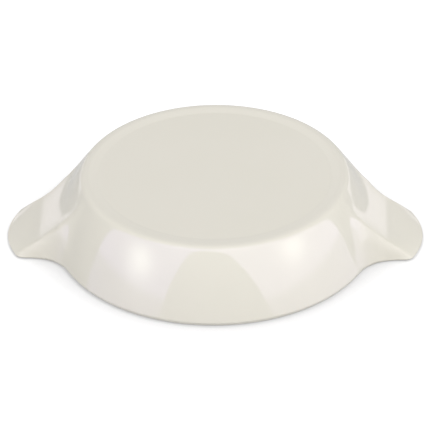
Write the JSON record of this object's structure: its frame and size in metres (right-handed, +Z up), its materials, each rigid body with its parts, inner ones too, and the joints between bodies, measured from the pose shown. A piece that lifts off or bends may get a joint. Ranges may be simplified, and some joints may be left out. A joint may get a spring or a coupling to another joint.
{
  "type": "rarebit dish",
  "caption": "Shallow round rarebit dish in ivory glazed china with a lug swept out of the wall on either side, lying upside down on its rim.",
  "frame": {"origin": "on the table under the middle of the bowl, in the plane of the rim that the dish lies on", "axes": "+X from the middle of the bowl to one lug, +Z up from the rim to the foot. The dish lies upside down as in the picture. Turned half a turn about X it stands on its foot, as it does in use"},
  "size_m": [0.202, 0.156, 0.0355],
  "materials": {
    "glaze": "clear glossy glaze over ivory china body"
  },
  "bodies": {
    "root": {"dish": "glaze"}
  },
  "joints": []
}
